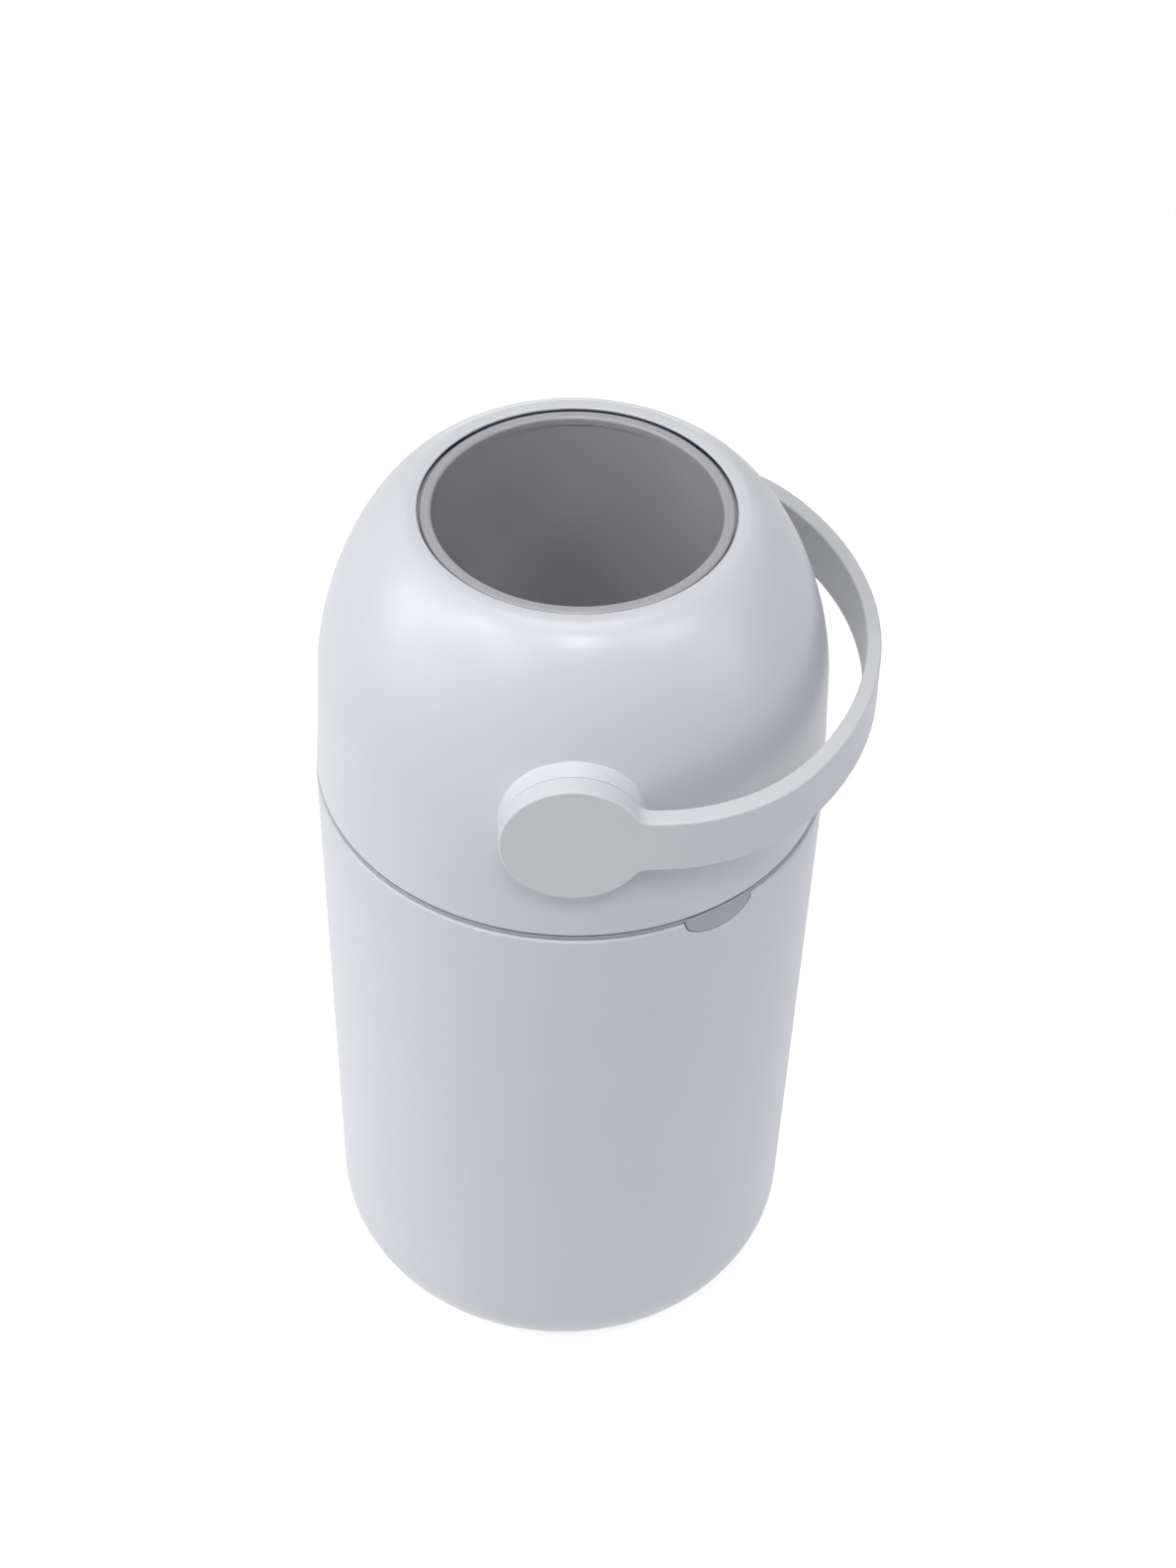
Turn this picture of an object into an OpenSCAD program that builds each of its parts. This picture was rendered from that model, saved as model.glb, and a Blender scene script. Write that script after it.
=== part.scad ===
// Nappy bin: tapered pail, bag ring, dome lid and a drum with a tube and a sliding piston, which the
// handle turns over so that the piston pushes the load out into the pail.
// Millimetres, +Z up, origin on the pail's axis at the floor, hubs on the Y axis, handle towards +X.

/* [Pail] */
// Outer radius of the dome and the rim line at the seam
seam_r = 125; // [115:0.5:140]
// Height of the dome's lower edge above the floor
seam_h = 338; // [290:1:380]
// How far the pail's wall line stands outside the dome's edge
pail_proud = 0.6; // [0:0.1:1.2]
// How far the wall line leans in from the seam to the floor
base_lean = 8.2; // [4:0.1:16]
// Wall thickness of the pail
pail_wall = 3; // [2:0.1:4]
// Radius of the rounding between wall and base
base_round = 40; // [25:1:50]
// Radius of the rounded outer edge of the rim
rim_round = 1.4; // [0.8:0.1:2]

/* [Foot pad] */
// Width of the flat rim of the base round the foot pad
foot_margin = 8.4; // [4:0.1:20]
// Height by which the foot pad holds the pail off the floor
foot_proud = 1; // [0.6:0.1:2]
// Depth of the foot pad's recess in the base
foot_sunk = 1.5; // [0.8:0.1:1.6]

/* [Bag ring] */
// Thickness of the ring's flange where it shows between pail and dome
ring_t = 1.3; // [1:0.1:2.4]
// Height of the slot under the flange's edge, where the bag comes out over the rim
bag_slot = 1; // [0.4:0.1:1.4]
// Distance by which the flange's edge lies inside the dome's edge
ring_setback = 0.6; // [0.2:0.1:1.5]
// Depth of the skirt inside the pail
skirt_h = 25; // [15:1:40]
// Thickness of the skirt
skirt_t = 2; // [1.5:0.1:3]
// Height of the collar that centres the dome
collar_h = 8; // [5:0.5:12]
// Width of the pull tab
tab_w = 37.4; // [28:0.2:50]
// Height of the pull tab below the rim
tab_h = 10.1; // [6:0.1:16]
// Direction of the pull tab, from the front hub towards the handle
tab_angle = 34.5; // [25:0.5:60]
// Gap between the tab and its notch in the rim
tab_gap = 0.6; // [0.3:0.1:1]

/* [Dome] */
// Gap that shows between the bag ring and the dome's edge
seam_gap = 1.5; // [0.8:0.1:2.5]
// Height of the dome's top above its lower edge
dome_rise = 156.5; // [150:0.5:164]
// Height of the shoulder, where the side wall begins to round over
shoulder_rise = 62; // [50:1:66]
// Distance by which the side wall leans in up to the shoulder
dome_lean = 2.05; // [1:0.05:3]
// Wall thickness of the dome's sides
dome_wall = 3; // [2.2:0.1:3.4]
// Wall thickness round the opening
dome_top_wall = 2.4; // [2:0.1:2.6]
// Width of the flat ring round the opening
top_flat = 4.8; // [3:0.1:6]

/* [Pivot] */
// Height of the pivot above the dome's lower edge
pivot_rise = 69; // [66:0.5:72]
// Radius of the hub discs and of the bosses behind them
hub_r = 34; // [30:0.5:38]
// Thickness of the hub discs
hub_t = 10; // [9:0.5:14]
// Gap between a hub disc and its boss
hub_gap = 0.4; // [0.3:0.1:0.8]
// Depth from a boss's face to the drum, which takes plate, washer and gaps
bearing_depth = 11.77; // [11:0.01:16]
// Radius of the axle stubs
axle_r = 8; // [6.5:0.1:8.5]

/* [Handle] */
// How much farther from the pivot the bail's far side lies than the hub faces
far_bulge = 12; // [6:0.2:25]
// Length of the straight start of each arm
arm_straight = 36; // [35.5:0.1:50]
// Width of the band
arm_w = 29.6; // [22:0.2:34]
// Thickness of the band at its middle
bail_t = 7.2; // [6:0.1:9]
// By how much the outer bends' radius is less than the way from arm to far side
outer_crown = 13.6; // [8:0.2:24]
// The same for the inner bends
inner_crown = 12.4; // [8:0.2:24]
// Radius of the fillets between hub disc and arm
neck_round = 8; // [5:0.5:12]
// Radius of the rounded edges
edge_round = 1.2; // [0.6:0.1:2]

/* [Drum, tube and piston] */
// Gap between the opening's edge and the tube's lip
lip_gap = 1.5; // [1.4:0.1:2.4]
// Depth of the upper lip below the dome's top
lip_drop = 1; // [0.8:0.1:2]
// Width of the rounded lips at both ends of the tube
lip_w = 5.7; // [5:0.1:7]
// Height of the lips
lip_h = 4; // [3.4:0.1:6]
// How far the lips stand into the bore as the piston's stops
stop_w = 1; // [0.6:0.1:2]
// Wall thickness of the tube
tube_wall = 2.4; // [2:0.1:3]
// Height of the piston
piston_h = 24; // [16:1:40]
// Gap between piston and bore
piston_gap = 0.8; // [0.5:0.1:1.2]
// Height of the piston's seal
piston_seal_h = 8; // [5:0.5:12]
// Wall thickness of the drum
drum_wall = 2.4; // [1.8:0.1:3]
// Depth of the joint between the drum's halves below the pivot
drum_split = 20; // [16:1:26]

/* [Hidden] */

// Colours
shell_colour = "#d9dde2";
handle_colour = "#c9cccf";
ring_colour = "#a19fa4";
tube_colour = "#8f8d90";
drum_colour = "#c4c8cc";
inner_colour = "#b6babf";
rubber_colour = "#5a5c60";
bush_colour = "#eeeade";
steel_colour = "#a9adb2";

// Facets of full circles, outline steps and overrun of cuts
round_fn = 96;
small_fn = 48;
arc_steps = 8;
dome_steps = 14;
bail_steps = 12;
corner_steps = 2;
over = 1;

// Clearances
running_gap = 0.05;
slip_gap = 0.2;
drum_gap = 0.8;
carrier_gap = 1;
ring_fit = 0.5;
carrier_fit = 0.3;
collar_gap = 0.8;
rest_gap = 0.1;
seal_gap = 1;
tube_fit = 0.4;

// Powers of the superellipses that the dome and the bail follow
dome_power = 1.6;
tab_power = 2;

// Heights worked out from the seam
ring_top = seam_h - seam_gap;
rim_h = ring_top - ring_t - bag_slot;
shoulder_h = seam_h + shoulder_rise;
top_h = seam_h + dome_rise;
pivot_h = seam_h + pivot_rise;

// Pail wall line and base rounding
pail_r = seam_r + pail_proud;
draft = atan(base_lean / seam_h);
base_corner_h = foot_proud + base_round;
base_corner_r = pail_line(base_corner_h, base_round);
foot_r = base_corner_r - foot_margin;
inner_edge_round = 0.5;

// Bosses, hubs and bearings, as distances from the pail's axis along the pivot
boss_proud = 0.36;
boss_face = dome_line(pivot_h - hub_r) + boss_proud;
hub_back = boss_face + hub_gap;
hub_face = hub_back + hub_t;
drum_r = boss_face - bearing_depth;
drum_flat_drop = 0.8;
drum_flat = drum_r - drum_flat_drop;
drum_flat_r = 15;
bush_flange_t = 1.4;
bush_flange_r = 13;
bush_wall = 2.4;
bush_r = axle_r + running_gap + bush_wall;
plate_face = drum_r + carrier_gap;
plate_t = 3.2;
plate_top_r = 14;
plate_foot_w = 40;
washer_t = 1.4;
washer_r = 19.6;
washer_bore_r = 11;
square_w = 10.6;
square_fit = 0.1;
hub_square_depth = 5.2;
drum_square_depth = 10.4;
drum_boss_wall = 2;
drum_boss_r = 12;

// Dome outline, with the opening where the drum's ball comes up to the top
opening_r = sqrt(pow(drum_r + drum_gap, 2) - pow(dome_rise - dome_top_wall - pivot_rise, 2));
flat_r = opening_r + top_flat;
shoulder_r = seam_r - dome_lean;
dome_edge_round = 1;

// Far faces of the bail
reach = hub_face + far_bulge;

// Stop lug on the hub and its half-turn groove in the boss
lug_r = 2.4;
lug_ring_r = 24;
lug_depth = 2.4;
groove_spare = 0.4;

// Axle screws
axle_screw_r = 2;
axle_screw_head_r = 4.2;
axle_screw_head_h = 2.6;
axle_screw_bite = 3;

// Carrier ring that closes the dome's underside
carrier_top = 23;
carrier_r = dome_line(seam_h + carrier_top) - dome_wall - carrier_fit;
carrier_wall = 2.6;
carrier_foot = 3;
shelf_gap = 2.2;
shelf_r = drum_reach(carrier_top) + shelf_gap;
shelf_t = 2.5;
wiper_gap = 0.5;
wiper_t = 2;
wiper_w = 4;
seal_w = 2.5;

// Bag ring: flange on the rim, collar inside the carrier, skirt inside the pail
flange_r = seam_r - ring_setback;
slot_depth = 0.9;
collar_r = carrier_r - carrier_wall - collar_gap;
collar_t = 2;
skirt_r = pail_line(rim_h - skirt_h, pail_wall) - ring_fit;

// Carrier screws and their posts in the dome
post_count = 4;
post_start = 45;
post_r = 4.2;
post_h = 14;
post_inset = 8.4;
post_rib_t = 3;
screw_r = 1.55;
screw_pilot_r = 1.6;
screw_hole_r = 1.8;
screw_head_r = 3.4;
screw_head_h = 2.2;
screw_bite = 10;

// Tube, its lips and the ledges that carry them
lip_top = top_h - lip_drop;
ledge_h = lip_top - lip_h;
ledge = ledge_h - pivot_h;
lip_r = opening_r - lip_gap;
lip_in_r = lip_r - lip_w;
lip_outer_round = 1.2;
lip_inner_round = 2;
bore_r = lip_in_r + stop_w;
tube_r = bore_r + tube_wall;
rebate_r = bore_r + tube_wall / 2;
rebate_h = 6;
neck_r = tube_r + tube_fit;
neck_wall = 2.2;
neck_h = 20;
opening_seal_w = 2.6;

// Piston and its seal
piston_r = bore_r - piston_gap;
piston_low = pivot_h - ledge + rest_gap;
piston_round = 3;
piston_groove_t = 1.8;
piston_groove_r = piston_r - piston_groove_t;
piston_seal_gap = 0.3;

// Snap spigot of the drum's lower half
snap_t = 1.6;
snap_rise = 6;
snap_root = 6;
snap_gap = 0.4;

// Radius of the pail's wall line at a height, less a wall measured square to it
function pail_line(z, inset) = pail_r - (seam_h - z) * tan(draft) - inset / cos(draft);

// Radius of the dome's side wall at a height below the shoulder
function dome_line(z) = seam_r - dome_lean * (z - seam_h) / shoulder_rise;

// Radius of the drum at a height above the seam
function drum_reach(rise) = sqrt(pow(drum_r, 2) - pow(pivot_rise - rise, 2));

// Points along an arc from one angle to another
function arc(centre, r, from, to, steps) =
    [for (i = [0:steps]) let (a = from + (to - from) * i / steps) centre + r * [cos(a), sin(a)]];

// Points along a quarter of a superellipse, from its side to its top
function quarter(centre, a, b, power, steps) =
    [for (i = [0:steps]) let (t = 90 * i / steps)
        centre + [a * pow(cos(t), 2 / power), b * pow(sin(t), 2 / power)]];

// The pivot's own frame: X stays, Y points up, Z points out through the front hub
module at_front() {
    translate([0, 0, pivot_h]) rotate([90, 0, 0]) children();
}

// The same frame seen through the rear hub
module at_rear() {
    mirror([0, 1, 0]) at_front() children();
}

// Both hubs
module at_hubs() {
    at_front() children();
    at_rear() children();
}

// Disc or tube along local Z between two distances
module tube(from, to, r, bore = 0) {
    translate([0, 0, from]) difference() {
        cylinder(h = to - from, r = r, $fn = small_fn);
        if (bore > 0)
            translate([0, 0, -over]) cylinder(h = to - from + 2 * over, r = bore, $fn = small_fn);
    }
}

module revolve() {
    rotate_extrude($fn = round_fn) children();
}

// Half-oval outline of the pull tab, standing square to the wall
module tab_prism(grow) {
    outline = [for (i = [0:2 * arc_steps]) let (t = 90 * i / arc_steps)
        [(tab_w / 2 + grow) * sign(cos(t)) * pow(abs(cos(t)), 2 / tab_power),
         -(tab_h + grow) * pow(sin(t), 2 / tab_power)]];
    top = ring_top - rim_h + grow;
    translate([0, 0, rim_h]) rotate([0, 0, tab_angle - 90]) rotate([90, 0, 90])
        linear_extrude(height = seam_r + pail_wall)
            polygon(concat([[tab_w / 2 + grow, top]], outline, [[-tab_w / 2 - grow, top]]));
}

module pail_body() {
    outer = concat(
        [[0, foot_proud]],
        arc([base_corner_r, base_corner_h], base_round, -90, -draft, arc_steps),
        arc([pail_line(rim_h - rim_round, rim_round), rim_h - rim_round], rim_round, 0, 90, corner_steps));
    inner = concat(
        arc([pail_line(rim_h, pail_wall) + inner_edge_round, rim_h - inner_edge_round],
            inner_edge_round, 90, 180, corner_steps),
        arc([base_corner_r, base_corner_h], base_round - pail_wall, -draft, -90, arc_steps),
        [[0, foot_proud + pail_wall]]);
    color(shell_colour) difference() {
        revolve() polygon(concat(outer, inner));
        tab_prism(tab_gap);
        tube(0, foot_proud + foot_sunk, foot_r + running_gap);
    }
}

module foot_pad() {
    color(rubber_colour) tube(0, foot_proud + foot_sunk, foot_r);
}

module bag_ring() {
    color(ring_colour) {
        revolve() polygon([[skirt_r - skirt_t, rim_h - skirt_h], [skirt_r, rim_h - skirt_h],
                           [skirt_r, rim_h], [flange_r - slot_depth, rim_h],
                           [flange_r - slot_depth, rim_h + bag_slot], [flange_r, rim_h + bag_slot],
                           [flange_r, ring_top],
                           [collar_r, ring_top], [collar_r, ring_top + collar_h],
                           [collar_r - collar_t, ring_top + collar_h], [collar_r - collar_t, rim_h],
                           [skirt_r - skirt_t, rim_h]]);
        intersection() {
            tab_prism(0);
            revolve() polygon([[pail_line(rim_h - tab_h, pail_wall), rim_h - tab_h - over],
                               [pail_line(rim_h - tab_h, slip_gap), rim_h - tab_h - over],
                               [pail_line(rim_h, slip_gap), rim_h],
                               [flange_r, ring_top],
                               [pail_line(rim_h - tab_h, pail_wall), ring_top]]);
        }
    }
}

// Boss face, axle hole, washer seat and stop groove cut into one side of the dome
module boss_cuts() {
    groove_w = lug_r + slip_gap;
    groove_floor = hub_back - lug_depth - groove_spare;
    tube(plate_face, boss_face + over, bush_r + running_gap);
    tube(hub_back - rest_gap - washer_t, boss_face + over, washer_r + slip_gap);
    translate([0, 0, groove_floor]) rotate_extrude(angle = 180, $fn = small_fn)
        translate([lug_ring_r - groove_w, 0]) square([2 * groove_w, lug_depth + groove_spare + over]);
    for (side = [-1, 1])
        translate([side * lug_ring_r, 0]) tube(groove_floor, boss_face + over, groove_w);
}

// Screw post under the dome's side wall, joined to it by a rib
module dome_post() {
    seat = seam_h + carrier_top;
    reach_in = seam_r - dome_wall - post_inset;
    difference() {
        union() {
            translate([reach_in, 0]) tube(seat, seat + post_h, post_r);
            translate([reach_in, -post_rib_t / 2, seat])
                cube([post_inset + dome_wall / 2 - dome_lean / 2, post_rib_t, post_h]);
        }
        translate([reach_in, 0]) tube(seat - over, seat + screw_bite + over, screw_pilot_r);
    }
}

module dome_shell() {
    outer = concat(
        [[0, seam_h]],
        arc([seam_r - dome_edge_round, seam_h + dome_edge_round], dome_edge_round, -90, 0, corner_steps),
        quarter([flat_r, shoulder_h], shoulder_r - flat_r, top_h - shoulder_h, dome_power, dome_steps),
        [[0, top_h]]);
    inner = concat(
        [[0, seam_h - over], [seam_r - dome_wall, seam_h - over], [seam_r - dome_wall, seam_h]],
        quarter([flat_r, shoulder_h], shoulder_r - flat_r - dome_wall,
                top_h - shoulder_h - dome_top_wall, dome_power, dome_steps),
        [[0, top_h - dome_top_wall]]);
    color(shell_colour) {
        difference() {
            union() {
                revolve() polygon(outer);
                at_hubs() tube(boss_face - hub_r, boss_face, hub_r);
            }
            revolve() polygon(inner);
            tube(pivot_h, top_h + over, opening_r);
            at_hubs() boss_cuts();
        }
        for (i = [0:post_count - 1])
            rotate([0, 0, post_start + 360 * i / post_count]) dome_post();
    }
}

module opening_seal() {
    seat = top_h - dome_top_wall;
    out_r = flat_r - rest_gap;
    in_r = out_r - opening_seal_w;
    tip = seam_h + pivot_rise;
    color(rubber_colour) revolve() polygon([
        [in_r, seat],
        [in_r, tip + sqrt(pow(drum_r, 2) - pow(in_r, 2)) + seal_gap],
        [out_r, tip + sqrt(pow(drum_r, 2) - pow(out_r, 2)) + seal_gap],
        [out_r, seat]]);
}

// Bearing plate that rises from the carrier's shelf to the pivot
module bearing_plate() {
    foot = seam_h + carrier_top - shelf_t - pivot_h;
    translate([0, 0, plate_face]) linear_extrude(height = plate_t) difference() {
        union() {
            circle(r = plate_top_r, $fn = small_fn);
            polygon([[-plate_foot_w / 2, foot], [plate_foot_w / 2, foot], [plate_top_r, 0], [-plate_top_r, 0]]);
        }
        circle(r = bush_r + running_gap, $fn = small_fn);
    }
}

module drum_carrier() {
    foot = seam_h + carrier_foot;
    top = seam_h + carrier_top;
    inner_r = carrier_r - carrier_wall;
    color(inner_colour) difference() {
        union() {
            revolve() polygon([[inner_r, foot], [carrier_r, foot], [carrier_r, top], [shelf_r, top],
                               [shelf_r, top - shelf_t], [inner_r, top - shelf_t]]);
            at_hubs() bearing_plate();
        }
        for (i = [0:post_count - 1])
            rotate([0, 0, post_start + 360 * i / post_count])
                translate([seam_r - dome_wall - post_inset, 0])
                    tube(top - shelf_t - over, top + over, screw_hole_r);
    }
}

module drum_wiper() {
    in_r = drum_reach(carrier_top + wiper_t) + wiper_gap;
    seat = seam_h + carrier_top;
    color(rubber_colour) tube(seat, seat + wiper_t, in_r + wiper_w, in_r);
}

module lid_seal() {
    color(rubber_colour)
        tube(ring_top + rest_gap, seam_h + carrier_foot, carrier_r, carrier_r - seal_w);
}

module carrier_screws() {
    seat = seam_h + carrier_top - shelf_t;
    color(steel_colour) for (i = [0:post_count - 1])
        rotate([0, 0, post_start + 360 * i / post_count])
            translate([seam_r - dome_wall - post_inset, 0]) {
                tube(seat - screw_head_h, seat, screw_head_r);
                tube(seat, seat + shelf_t + screw_bite, screw_r);
            }
}

module bush() {
    color(bush_colour) difference() {
        union() {
            tube(plate_face - bush_flange_t, plate_face, bush_flange_r);
            tube(plate_face, hub_back - rest_gap - washer_t, bush_r);
        }
        tube(drum_flat, hub_face, axle_r + running_gap);
    }
}

module bush_front() { at_front() bush(); }
module bush_rear() { at_rear() bush(); }

module hub_washer() {
    color(bush_colour) tube(hub_back - rest_gap - washer_t, hub_back - rest_gap, washer_r, washer_bore_r);
}

module hub_washer_front() { at_front() hub_washer(); }
module hub_washer_rear() { at_rear() hub_washer(); }

// Centred square bar along local Z
module square_bar(from, to, w) {
    translate([-w / 2, -w / 2, from]) cube([w, w, to - from]);
}

// Web between hub disc and arm, hollowed by the fillet's circle
module neck() {
    centre = [sqrt(pow(hub_r + neck_round, 2) - pow(arm_w / 2 + neck_round, 2)), arm_w / 2 + neck_round];
    on_disc = centre * hub_r / (hub_r + neck_round);
    difference() {
        polygon([[0, 0], on_disc, centre, [centre[0], arm_w / 2], [centre[0], 0]]);
        translate(centre) circle(r = neck_round, $fn = small_fn);
    }
}

// Hub disc with a rounded face edge, its two necks and its stop lug
module hub() {
    rotate_extrude($fn = round_fn)
        polygon(concat([[0, hub_back], [hub_r, hub_back]],
                       arc([hub_r - edge_round, hub_face - edge_round], edge_round, 0, 90, corner_steps),
                       [[0, hub_face]]));
    for (side = [0, 1])
        mirror([0, side, 0]) translate([0, 0, hub_back])
            linear_extrude(height = hub_t - edge_round / 2) neck();
    translate([lug_ring_r, 0]) tube(hub_back - lug_depth, hub_back + over, lug_r);
}

// Radius of the far arc that runs on smoothly from two corner arcs
function far_radius(far, side, corner) =
    let (run = far - arm_straight)
    (pow(run, 2) + pow(side, 2) - 2 * side * corner) / (2 * (run - corner));

// Edge of the band seen from above, rear arm first: straight, corner arc, far arc, corner arc, straight
function band_edge(far, side, crown) =
    let (corner = far - arm_straight - crown,
         far_r = far_radius(far, side, corner),
         far_at = far - far_r,
         bend = atan2(side - corner, arm_straight - far_at))
    concat([[hub_r / 2, side]],
           arc([arm_straight, side - corner], corner, 90, bend, bail_steps),
           arc([far_at, 0], far_r, bend, -bend, 2 * bail_steps),
           arc([arm_straight, corner - side], corner, -bend, -90, bail_steps),
           [[hub_r / 2, -side]]);

// Band of the bail between its outer and its inner edge
module band() {
    outer = band_edge(reach, hub_face, outer_crown);
    inner = band_edge(reach - bail_t, hub_back, inner_crown);
    turned = [for (i = [len(inner) - 1:-1:0]) inner[i]];
    translate([0, 0, pivot_h - arm_w / 2])
        linear_extrude(height = arm_w) polygon(concat(outer, turned));
}

module handle_bail() {
    color(handle_colour) difference() {
        union() {
            at_hubs() hub();
            band();
        }
        at_hubs() {
            square_bar(hub_back - over, hub_back + hub_square_depth, square_w + square_fit);
            tube(hub_back, hub_back + hub_square_depth + axle_screw_bite, axle_screw_r - running_gap);
        }
    }
}

// Axle stub: round in the bush, square in the hub and in the drum
module axle() {
    color(bush_colour) difference() {
        union() {
            square_bar(drum_flat - drum_square_depth, drum_flat, square_w);
            tube(drum_flat, hub_back, axle_r);
            square_bar(hub_back, hub_back + hub_square_depth - running_gap, square_w);
        }
        tube(drum_flat - drum_square_depth - over, hub_face, axle_screw_r + slip_gap);
    }
}

module axle_front() { at_front() axle(); }
module axle_rear() { at_rear() axle(); }

module axle_screws() {
    seat = drum_flat - drum_square_depth - drum_boss_wall;
    shoulder = hub_back + hub_square_depth - running_gap;
    tip = hub_back + hub_square_depth + axle_screw_bite - slip_gap;
    tip_r = axle_screw_r - 2 * running_gap;
    color(steel_colour) at_hubs() rotate_extrude($fn = small_fn)
        polygon([[0, seat - axle_screw_head_h], [axle_screw_head_r, seat - axle_screw_head_h],
                 [axle_screw_head_r, seat], [axle_screw_r, seat], [axle_screw_r, shoulder],
                 [tip_r, shoulder], [tip_r, tip], [0, tip]]);
}

// Spherical shell of the drum between two heights above the pivot
module drum_zone(from, to) {
    intersection() {
        difference() {
            sphere(r = drum_r, $fn = round_fn);
            sphere(r = drum_r - drum_wall, $fn = round_fn);
        }
        tube(from, to, drum_r + over);
    }
}

// Ledge and neck that hold the upper end of the tube
module drum_end() {
    tube(ledge - neck_h, ledge, neck_r + neck_wall);
    intersection() {
        tube(ledge - drum_wall, ledge, drum_r);
        sphere(r = drum_r - running_gap, $fn = round_fn);
    }
}

module drum_upper() {
    seat = drum_flat - drum_square_depth - drum_boss_wall;
    color(drum_colour) difference() {
        union() {
            translate([0, 0, pivot_h]) {
                drum_zone(-drum_split, ledge);
                drum_end();
            }
            at_hubs() tube(seat, drum_flat, drum_boss_r);
        }
        tube(ledge_h - neck_h - over, top_h, neck_r);
        at_hubs() {
            tube(drum_flat, drum_r + over, drum_flat_r);
            square_bar(seat + drum_boss_wall, drum_flat + over, square_w + square_fit);
            tube(seat - over, drum_flat, axle_screw_r + slip_gap);
        }
    }
}

module drum_lower() {
    snap_r = sqrt(pow(drum_r - drum_wall, 2) - pow(drum_split, 2)) - snap_gap;
    color(drum_colour) translate([0, 0, pivot_h]) {
        difference() {
            union() {
                drum_zone(-ledge, -drum_split);
                mirror([0, 0, 1]) drum_end();
            }
            tube(-ledge - over, neck_h - ledge + over, neck_r);
        }
        intersection() {
            tube(-drum_split - snap_root, -drum_split + snap_rise, snap_r, snap_r - snap_t);
            sphere(r = drum_r - running_gap, $fn = round_fn);
        }
    }
}

// Rounded top of a lip from its outer to its inner side, over the tube's end (1) or under it (-1)
function lip_line(end) =
    let (top = ledge + lip_h,
         outer = arc([lip_r - lip_outer_round, top - lip_outer_round], lip_outer_round, 0, 90, arc_steps / 2),
         inner = arc([lip_in_r + lip_inner_round, top - lip_inner_round], lip_inner_round, 90, 180,
                     arc_steps / 2))
    [for (p = concat(outer, inner)) [p[0], end * p[1]]];

module load_tube() {
    color(tube_colour) translate([0, 0, pivot_h]) revolve() polygon(concat(
        [[bore_r, -ledge], [rebate_r, -ledge], [rebate_r, rebate_h - ledge], [tube_r, rebate_h - ledge],
         [tube_r, ledge], [lip_r, ledge]],
        lip_line(1),
        [[lip_in_r, ledge], [bore_r, ledge]]));
}

// Lip of the tube's lower end, with a collar that snaps over the tube
module tube_lip() {
    color(tube_colour) translate([0, 0, pivot_h]) revolve() polygon(concat(
        [[rebate_r + running_gap, rebate_h - rest_gap - ledge], [tube_r, rebate_h - rest_gap - ledge],
         [tube_r, -ledge], [lip_r, -ledge]],
        lip_line(-1),
        [[lip_in_r, -ledge], [rebate_r + running_gap, -ledge]]));
}

module piston() {
    mid = piston_low + piston_h / 2;
    half = piston_seal_h / 2;
    color(inner_colour) revolve() polygon(concat(
        [[0, piston_low]],
        arc([piston_r - piston_round, piston_low + piston_round], piston_round, -90, 0, corner_steps),
        [[piston_r, mid - half], [piston_groove_r, mid - half], [piston_groove_r, mid + half],
         [piston_r, mid + half]],
        arc([piston_r - piston_round, piston_low + piston_h - piston_round], piston_round, 0, 90, corner_steps),
        [[0, piston_low + piston_h]]));
}

module piston_seal() {
    mid = piston_low + piston_h / 2;
    half = piston_seal_h / 2 - rest_gap;
    color(rubber_colour) tube(mid - half, mid + half, bore_r - piston_seal_gap, piston_groove_r);
}

pail_body();
foot_pad();
bag_ring();
dome_shell();
opening_seal();
drum_carrier();
drum_wiper();
lid_seal();
carrier_screws();
bush_front();
bush_rear();
hub_washer_front();
hub_washer_rear();
handle_bail();
axle_front();
axle_rear();
axle_screws();
drum_upper();
drum_lower();
load_tube();
tube_lip();
piston();
piston_seal();
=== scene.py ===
"""Looks of the nappy bin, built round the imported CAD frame. Metres, +Z up, hubs on the Y axis."""
import math

import bpy
from mathutils import Matrix, Vector


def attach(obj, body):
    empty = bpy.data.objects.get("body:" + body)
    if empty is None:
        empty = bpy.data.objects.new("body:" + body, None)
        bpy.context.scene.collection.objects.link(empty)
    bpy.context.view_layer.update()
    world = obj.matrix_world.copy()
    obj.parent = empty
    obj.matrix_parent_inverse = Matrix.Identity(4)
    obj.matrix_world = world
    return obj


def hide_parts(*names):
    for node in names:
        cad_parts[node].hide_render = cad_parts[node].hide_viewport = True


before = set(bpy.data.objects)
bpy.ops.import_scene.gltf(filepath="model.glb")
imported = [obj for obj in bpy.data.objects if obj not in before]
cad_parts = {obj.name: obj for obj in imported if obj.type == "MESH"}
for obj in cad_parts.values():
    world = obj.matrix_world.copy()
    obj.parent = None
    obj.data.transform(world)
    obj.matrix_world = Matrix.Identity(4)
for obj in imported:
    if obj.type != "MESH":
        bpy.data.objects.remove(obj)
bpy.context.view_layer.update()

MM = 0.001

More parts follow.
